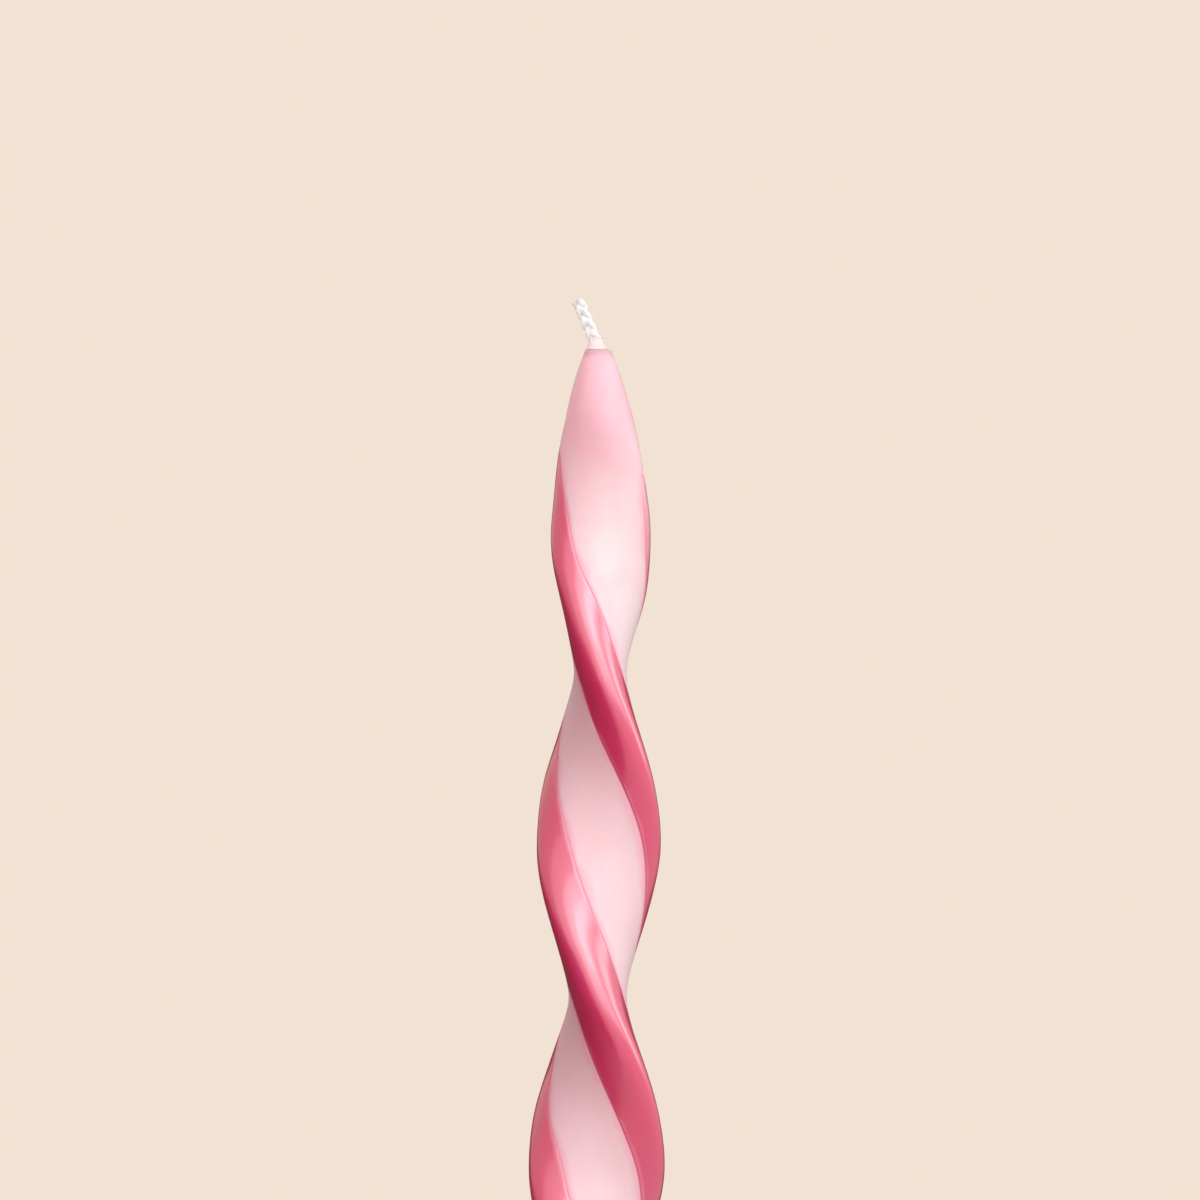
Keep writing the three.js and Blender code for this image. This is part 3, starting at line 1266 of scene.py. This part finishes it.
@dataclass(frozen=True)
class WaxFinish:
    """Candle wax: translucent, with a soft gloss, streaks along the twist and a tinted margin, and
    some painted light: shade in the margin's crease and over the top edge, and a highlight within
    the whiter patch.

    Heights are in metres above the base. Distances from a strip's margin are in mm.
    """

    name: str
    slot: str
    body: Colour
    margin: Colour
    nose: Colour
    # line: painted shade, a darker line along a strip's margin where the skin dips into the crease
    line: Colour
    # rim: painted shade, a greyer and darker pink over the rounded top edge and the top of the wax
    rim: Colour = (0.7, 0.45, 0.5)
    thin: Colour = (0.9, 0.38, 0.48)
    # patch: a whiter pink away from the margins, strongest on the upper faces; partly paler wax,
    # partly a painted highlight of the key softbox
    patch: Colour = (0.9, 0.75, 0.765)
    patch_strength: float = 0.0
    patch_distances: Span = (1.5, 4.5)
    patch_heights: Span = (0.214, 0.238)
    patch_below: float = 0.2
    cloud_span: Span = (0.3, 0.6)
    cloud_least: float = 0.5
    margin_width: float = 1.8
    margin_waver: Span = (0.55, 1.45)
    crease_shade_width: float = 0.35
    nose_heights: Span = (0.250, 0.268)
    top_shade_heights: Span = (0.2782, 0.2798)
    roughness: float = 0.45
    roughness_waver: float = 0.12
    ior: float = 1.45
    specular: float = 0.5
    coat: float = 0.0
    coat_roughness: float = 0.15
    coat_ior: float = 1.5
    subsurface: float = 0.7
    radius: Colour = (1.0, 0.6, 0.55)
    scale: float = 0.8 * MM
    calm_margin: float = 1.2
    tone_span: Span = (0.6, 1.4)
    streak_tone: float = 0.05
    streak_height: float = 0.012 * MM
    dimple_share: float = 0.35

    def paint(
        self, sheet: Sheet, distance: Socket, height: Socket, thin: Socket, cloud: Socket
    ) -> Socket:
        """Lays the wax's tints over each other, from its body to its tip, among them painted shade
        and a partly painted highlight.

        Args:
            sheet: The material's sheet.
            distance: The distance from the nearest strip's margin.
            height: The height above the base.
            thin: How far the wax has run out thin.
            cloud: The mottling's tone.

        Returns:
            The colour's socket.
        """
        clouded = sheet.ramp(cloud, self.cloud_span, (self.cloud_least, 1.0))
        # the whiter patch, partly a painted highlight: away from the margins and stronger higher up
        away = sheet.ramp(distance, self.patch_distances)
        upper = sheet.ramp(height, self.patch_heights, (self.patch_below, 1.0))
        patch = sheet.math("MULTIPLY", sheet.math("MULTIPLY", away, upper), clouded)
        waver = sheet.ramp(cloud, NOISE_SPAN, self.margin_waver)
        wavering = sheet.math("DIVIDE", distance, waver)
        layers = (
            # partly paler wax, partly a painted highlight
            (sheet.math("MULTIPLY", patch, self.patch_strength), self.patch),
            (sheet.ramp(wavering, (0.0, self.margin_width), FALLING), self.margin),
            # painted crease shade: the darker line along the margin
            (sheet.ramp(distance, (0.0, self.crease_shade_width), FALLING), self.line),
            (sheet.ramp(height, self.nose_heights), self.nose),
            # painted shade over the top edge and the top
            (sheet.math("MULTIPLY", sheet.ramp(height, self.top_shade_heights), clouded), self.rim),
            (thin, self.thin),
        )
        colour = self.body
        for share, tint in layers:
            colour = sheet.mix(share, colour, tint)
        return colour

    def build(self, groups: dict[str, bpy.types.NodeTree]) -> bpy.types.Material:
        """Builds the material.

        Args:
            groups: The shared node groups, by name.

        Returns:
            The material.
        """
        material, sheet = new_material(self.name)
        flow = sheet.attribute("flow", "Vector")
        parts = sheet.parts(flow)
        streaks = sheet.group(groups["streaks"], Flow=flow)
        mottle = sheet.group(groups["mottle"])
        cloud = mottle["Cloud"]
        distance = sheet.attribute("margin")
        colour = self.paint(sheet, distance, parts["Y"], parts["Z"], cloud)
        tone = sheet.math("ADD", streaks["Tone"], cloud)
        tones = 1 - self.streak_tone, 1 + self.streak_tone
        value = sheet.ramp(tone, self.tone_span, tones, even=True)
        tint = sheet.add("CombineColor", None, Red=1.0, Green=value, Blue=value).outputs[0]
        waver = self.roughness_waver * self.roughness
        rough = self.roughness - waver, self.roughness + waver
        dimples = sheet.math("MULTIPLY", mottle["Dimple"], self.dimple_share)
        relief = sheet.math("ADD", streaks["Height"], dimples)
        sheet.surface(
            Base_Color=sheet.mix(1.0, colour, tint, "MULTIPLY"),
            Roughness=sheet.ramp(cloud, NOISE_SPAN, rough, even=True),
            Normal=sheet.bump(relief, self.streak_height),
            IOR=self.ior,
            Specular_IOR_Level=self.specular,
            Subsurface_Weight=sheet.ramp(distance, (0.0, self.calm_margin), (0.0, self.subsurface)),
            Subsurface_Radius=self.radius,
            Subsurface_Scale=self.scale,
            Coat_Weight=self.coat,
            Coat_Roughness=self.coat_roughness,
            Coat_IOR=self.coat_ior,
        )
        return material


@dataclass(frozen=True)
class CoreFinish:
    """Plain white wax with a cut face at the base."""

    name: str = "white_core"
    slot: str = "white_wax"
    body: Colour = (0.93, 0.89, 0.86)
    cloud_shade: float = 0.93
    roughness: float = 0.5
    relief: float = 0.03 * MM
    subsurface: float = 0.25
    radius: Colour = (1.0, 0.8, 0.7)
    scale: float = 0.25 * MM

    def build(self, groups: dict[str, bpy.types.NodeTree]) -> bpy.types.Material:
        """Builds the material.

        Args:
            groups: The shared node groups, by name.

        Returns:
            The material.
        """
        material, sheet = new_material(self.name)
        mottle = sheet.group(groups["mottle"])
        grain = sheet.ramp(mottle["Cloud"], NOISE_SPAN)
        sheet.surface(
            Base_Color=sheet.mix(grain, self.body, dimmed(self.body, self.cloud_shade)),
            Normal=sheet.bump(mottle["Dimple"], self.relief),
            Roughness=self.roughness,
            Subsurface_Weight=self.subsurface,
            Subsurface_Radius=self.radius,
            Subsurface_Scale=self.scale,
        )
        return material


@dataclass(frozen=True)
class CottonFinish:
    """Bleached cotton yarn with fine fibres, with painted shade between the yarns and along the
    braid's middle.

    Lengths along the braid are in mm. Across it, 1 is its half width.
    """

    name: str = "braided_cotton"
    slot: str = "cotton"
    body: Colour = (0.9, 0.89, 0.85)
    # painted shade, darker where the yarns dip between each other
    valley_shade: Colour = (0.82, 0.83, 0.81)
    crest_span: Span = (0.85, 0.97)
    # groove: painted shade, grey marks along the braid's middle where the bundles cross
    groove: Colour = (0.71, 0.75, 0.77)
    groove_span: Span = (0.1, 0.62)
    groove_step: float = 2.6
    groove_swing: Span = (-0.9, 0.1)
    fibre_shade: float = 0.93
    fibre_density: tuple[float, float] = (6.0, 1.5)
    fibre_slant: float = 14.0
    relief: float = 0.015 * MM
    roughness: float = 0.75
    sheen: float = 0.25
    subsurface: float = 0.3
    radius: Colour = (1.0, 0.95, 0.9)
    scale: float = 0.4 * MM

    def build(self) -> bpy.types.Material:
        """Builds the material.

        Returns:
            The material.
        """
        material, sheet = new_material(self.name)
        parts = sheet.parts(sheet.attribute("flow", "Vector"))
        around, along = parts["X"], parts["Y"]
        dense, sparse = self.fibre_density
        slant = sheet.math("MULTIPLY", along, self.fibre_slant)
        across = sheet.math("ADD", sheet.math("MULTIPLY", around, dense), slant)
        stretched = sheet.math("MULTIPLY", along, sparse)
        place = sheet.add("CombineXYZ", None, X=across, Y=stretched, Z=parts["Z"]).outputs[0]
        fibres = sheet.noise(place, scale=1.3, detail=4.0, roughness=0.6)
        crest = sheet.ramp(sheet.attribute("flute"), self.crest_span)
        # painted shade between the yarns' crests
        colour = sheet.mix(crest, self.valley_shade, self.body)
        # painted shade in the braid's middle groove, repeating along it
        middle = sheet.ramp(sheet.attribute("across"), self.groove_span, FALLING)
        turn = sheet.math("SINE", sheet.math("MULTIPLY", along, 2 * math.pi / self.groove_step))
        groove_shade = sheet.math("MULTIPLY", middle, sheet.ramp(turn, self.groove_swing))
        colour = sheet.mix(groove_shade, colour, self.groove)
        tint = sheet.ramp(fibres, NOISE_SPAN, (self.fibre_shade, 1.0))
        grey = sheet.add("CombineColor", None, Red=tint, Green=tint, Blue=tint).outputs[0]
        sheet.surface(
            Base_Color=sheet.mix(1.0, colour, grey, "MULTIPLY"),
            Normal=sheet.bump(fibres, self.relief),
            Roughness=self.roughness,
            Sheen_Weight=self.sheen,
            Subsurface_Weight=self.subsurface,
            Subsurface_Radius=self.radius,
            Subsurface_Scale=self.scale,
        )
        return material


# The studio.


def direction(azimuth: float, elevation: float) -> Vector:
    """A direction from the candle.

    Args:
        azimuth: Degrees to the right of the camera's side, seen by the camera.
        elevation: Degrees above the horizon.

    Returns:
        The unit vector.
    """
    a, e = math.radians(azimuth), math.radians(elevation)
    return Vector((math.sin(a) * math.cos(e), -math.cos(a) * math.cos(e), math.sin(e)))


@dataclass(frozen=True)
class Softbox:
    """A rectangular lamp that looks at the upper part of the candle."""

    name: str
    azimuth: float
    elevation: float
    distance: float
    width: float
    height: float
    watts: float
    colour: Colour = (1.0, 1.0, 1.0)
    target: tuple[float, float, float] = (0.0, 0.0, 0.21)
    spread: float = 180.0
    glossy: bool = True

    def build(self) -> bpy.types.Object:
        """Builds the lamp.

        Returns:
            The lamp.
        """
        data = bpy.data.lights.new(self.name, "AREA")
        data.shape = "RECTANGLE"
        data.size = self.width
        data.size_y = self.height
        data.energy = self.watts
        data.color = self.colour
        data.spread = math.radians(self.spread)
        lamp = bpy.data.objects.new(self.name, data)
        away = direction(self.azimuth, self.elevation)
        lamp.location = Vector(self.target) + away * self.distance
        lamp.rotation_euler = away.to_track_quat("Z", "Y").to_euler()
        lamp.visible_camera = False
        lamp.visible_glossy = self.glossy
        bpy.context.scene.collection.objects.link(lamp)
        return lamp


@dataclass(frozen=True)
class BlackCard:
    """A black card that slopes up and away from the candle, which only reflections see.

    Its low and its high edge are each given by a radius and a height.
    """

    name: str
    azimuth_from: float
    azimuth_to: float
    low: Span
    high: Span
    segments: int = 32

    def build(self) -> bpy.types.Object:
        """Builds the card.

        Returns:
            The card.
        """
        mesh = Mesh(self.name)
        turns = np.linspace(self.azimuth_from, self.azimuth_to, self.segments + 1)
        edges = []
        for radius, z in (self.low, self.high):
            places = [direction(turn, 0) * radius for turn in turns]
            edges.append(mesh.add(np.array([[place.x, place.y, z] for place in places])).tolist())
        low, high = edges
        mesh.faces += zip(low, low[1:], high[1:], high)
        card = mesh.finish()
        material, sheet = new_material(self.name)
        sheet.surface(Base_Color=(0.01, 0.01, 0.01), Roughness=0.9)
        card.data.materials.append(material)
        card.visible_camera = False
        card.visible_diffuse = False
        card.visible_shadow = False
        return card


@dataclass(frozen=True)
class Studio:
    """The pale floor and background, the soft lamps and the camera."""

    paper: Colour = (0.888, 0.761, 0.651)
    paper_shade: float = 0.985
    paper_grain: float = 900.0
    ambient: Colour = (0.07, 0.05, 0.055)
    floor_radii: Span = (0.02, 1.2)
    floor_rings: int = 24
    floor_segments: int = 96
    fade_radii: Span = (0.2, 0.8)
    bounce: float = 0.35
    lens: float = 200.0
    sensor: float = 36.0
    frame_height: float = 210 * MM
    frame_centre: tuple[float, float] = (0.1 * MM, 236.25 * MM)
    roll: float = 0.36
    # Each lamp: name, azimuth, elevation, distance, width, height and watts.
    lamps: tuple[Softbox, ...] = (
        Softbox("key_middle", 50, 34, 1.0, 0.44, 0.4, 1.7),
        Softbox("key_softbox", 42, 28, 1.0, 1.25, 0.8, 6.4),
        Softbox("side_softbox", 98, 18, 1.0, 0.4, 0.6, 2.2),
        Softbox("front_wide", -4, 22, 1.25, 1.8, 1.2, 5.4),
        Softbox("front_fill", -6, 0, 1.25, 1.8, 1.4, 7.4, glossy=False),
        Softbox("back_softbox", 205, 15, 1.2, 1.0, 0.8, 9.0, glossy=False),
        Softbox("warm_fill", -70, 3, 1.2, 1.2, 0.8, 3.0, (1.0, 0.2, 0.3), glossy=False),
        Softbox(
            "tip_fill", -65, 0, 0.3, 0.03, 0.03, 0.00135, colour=(0.95, 0.98, 1.0),
            target=(0.0, 0.0, 0.278), spread=13, glossy=False,
        ),
    )
    cards: tuple[BlackCard, ...] = (
        BlackCard("left_card", -150, -20, (0.2, 0.002), (1.0, 0.27)),
        BlackCard("back_card", 140, 210, (0.2, 0.002), (1.0, 0.6)),
    )

    def build(self) -> None:
        """Builds everything round the candle."""
        self.build_world()
        self.build_floor()
        for piece in self.lamps + self.cards:
            piece.build()
        self.build_camera()

    def build_world(self) -> None:
        """Makes the world: the paper's colour where it is seen, and a dim even light elsewhere."""
        world = bpy.data.worlds.new("studio")
        bpy.context.scene.world = world
        world.use_nodes = True
        sheet = Sheet(world.node_tree)
        path = sheet.add("LightPath")
        seen = sheet.math("MAXIMUM", path.outputs["Is Camera Ray"], path.outputs["Is Glossy Ray"])
        seen = sheet.math("MAXIMUM", seen, path.outputs["Is Transmission Ray"])
        lit = sheet.add("Background", None, Color=self.ambient, Strength=1.0)
        shown = sheet.add("Background", None, Color=self.paper, Strength=1.0)
        mixed = sheet.add("MixShader", None, i0=seen, i1=lit.outputs[0], i2=shown.outputs[0])
        sheet.add("OutputWorld", None, Surface=mixed.outputs[0])

    def build_floor(self) -> None:
        """Makes a round pale floor that fades into the background towards its rim."""
        mesh = Mesh("floor")
        angles = full_turn(self.floor_segments)
        rings = []
        for radius in np.linspace(*self.floor_radii, self.floor_rings):
            points = rows_of(radius * np.cos(angles), radius * np.sin(angles), 0.0)
            rings.append(mesh.add(points))
        for outer, inner in zip(rings[1:], rings):
            mesh.join(outer, inner)
        mesh.close(rings[0], facing_down=False)
        floor = mesh.finish()
        material, sheet = new_material("pale_paper")
        place = sheet.add("TexCoord").outputs["Object"]
        radius = sheet.add("VectorMath", {"operation": "LENGTH"}, Vector=place).outputs["Value"]
        grain = sheet.ramp(sheet.noise(place, self.paper_grain, detail=2.0), NOISE_SPAN)
        colour = sheet.mix(grain, self.paper, dimmed(self.paper, self.paper_shade))
        path = sheet.add("LightPath").outputs
        colour = sheet.mix(path["Is Diffuse Ray"], colour, dimmed(self.paper, self.bounce))
        paper = sheet.add(
            "BsdfPrincipled", None, Base_Color=colour, Roughness=0.85, Specular_IOR_Level=0.0
        )
        glow = sheet.add("Emission", None, Color=self.paper, Strength=1.0)
        share = sheet.math("MULTIPLY", sheet.ramp(radius, self.fade_radii), path["Is Camera Ray"])
        mixed = sheet.add("MixShader", None, i0=share, i1=paper.outputs[0], i2=glow.outputs[0])
        sheet.add("OutputMaterial", None, Surface=mixed.outputs[0])
        floor.data.materials.append(material)

    def build_camera(self) -> None:
        """Makes the camera, level with the upper part of the candle."""
        data = bpy.data.cameras.new("camera")
        data.lens = self.lens
        data.sensor_width = self.sensor
        camera = bpy.data.objects.new("camera", data)
        distance = self.frame_height * self.lens / self.sensor
        across, up = self.frame_centre
        tilt = Matrix.Rotation(math.radians(90), 4, "X")
        roll = Matrix.Rotation(math.radians(self.roll), 4, "Z")
        camera.matrix_world = Matrix.Translation((across, -distance, up)) @ (tilt @ roll)
        bpy.context.scene.collection.objects.link(camera)
        bpy.context.scene.camera = camera


# The candle.


@dataclass(frozen=True)
class Candle:
    """The whole candle, put together piece by piece."""

    form: TaperForm = TaperForm()
    wick: BraidedWick = BraidedWick()
    strips: tuple[Strip, ...] = (
        Strip(
            "dark_strip_1", side=0, wrap=55.5,
            start=14.5 * MM, start_run=28 * MM, start_power=0.17, end=24 * MM,
            strays=(
                Stray(244 * MM, 8 * MM, -8.5, Margin.LATER),
                Stray(215 * MM, 8 * MM, 4.0, Margin.EARLIER),
                Stray(191 * MM, 14 * MM, -8.0, Margin.EARLIER),
                Stray(149 * MM, 6 * MM, -4.0, Margin.LATER),
                Stray(138 * MM, 6 * MM, 3.0, Margin.LATER),
            ),
        ),
        Strip(
            "dark_strip_2", side=180, wrap=61,
            start=22 * MM, start_run=60 * MM, start_power=0.42, end=28 * MM,
            strays=(
                Stray(248 * MM, 9 * MM, 9.0, Margin.EARLIER),
                Stray(206 * MM, 9 * MM, -2.5, Margin.LATER),
                Stray(175 * MM, 9 * MM, 3.5, Margin.LATER),
                Stray(158 * MM, 8 * MM, 3.0, Margin.EARLIER),
                Stray(135 * MM, 8 * MM, -3.5, Margin.EARLIER),
            ),
        ),
    )
    pale: WaxFinish = WaxFinish(
        "pale_pink_wax", "pale_wax",
        body=(0.92, 0.66, 0.71), margin=(0.92, 0.48, 0.58), nose=(0.92, 0.55, 0.62),
        line=(0.88, 0.28, 0.39), patch_strength=0.85, roughness=0.5, specular=0.4,
    )
    dark: WaxFinish = WaxFinish(
        "dark_pink_wax", "dark_wax",
        body=(0.72, 0.036, 0.155), margin=(0.78, 0.16, 0.29), nose=(0.72, 0.036, 0.155),
        line=(0.62, 0.07, 0.16), crease_shade_width=0.5, margin_width=0.9,
        roughness=0.38, specular=1.0, coat=1.0, coat_roughness=0.21, coat_ior=1.7,
        radius=(1.0, 0.5, 0.5), scale=0.5 * MM, streak_height=0.004 * MM,
    )
    white: CoreFinish = CoreFinish()
    stained: CoreFinish = CoreFinish("stained_white", body=(0.9, 0.76, 0.76))
    cotton: CottonFinish = CottonFinish()

    def place(
        self, piece: bpy.types.Object, node: str, slot: str, material: bpy.types.Material
    ) -> None:
        """Puts a finished piece in its node's place.

        Args:
            piece: The piece.
            node: The construction node that it stands for.
            slot: The record's material slot. It is not used.
            material: Its finish.
        """
        piece.data.materials.append(material)
        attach(piece, "root")
        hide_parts(node)
        LOG.info("%s stands for %s: %d faces", piece.name, node, len(piece.data.polygons))

    def build(self) -> None:
        """Builds and dresses every piece."""
        groups = {"streaks": streaks_group(), "mottle": mottle_group()}
        finishes = self.pale, self.dark, self.white, self.stained
        pale, dark, white, stained = (finish.build(groups) for finish in finishes)
        jacket = Jacket(self.form, self.strips, self.wick)
        self.place(jacket.build(), "pale_jacket", self.pale.slot, pale)
        for strip in self.strips:
            piece = StripPiece(self.form, strip).build(self.strips)
            self.place(piece, strip.name, self.dark.slot, dark)
        self.place(Core(self.form, self.wick).build(), "wax_core", self.white.slot, white)
        self.place(Collar(self.form, self.wick).build(), "wick", self.stained.slot, stained)
        self.place(self.wick.build(), "wick", self.cotton.slot, self.cotton.build())


def main() -> None:
    """Builds the studio and the candle."""
    logging.basicConfig(level=logging.INFO, format="%(name)s: %(message)s")
    bpy.context.scene.view_settings.view_transform = "Standard"
    Studio().build()
    Candle().build()


if __name__ == "__main__":
    main()
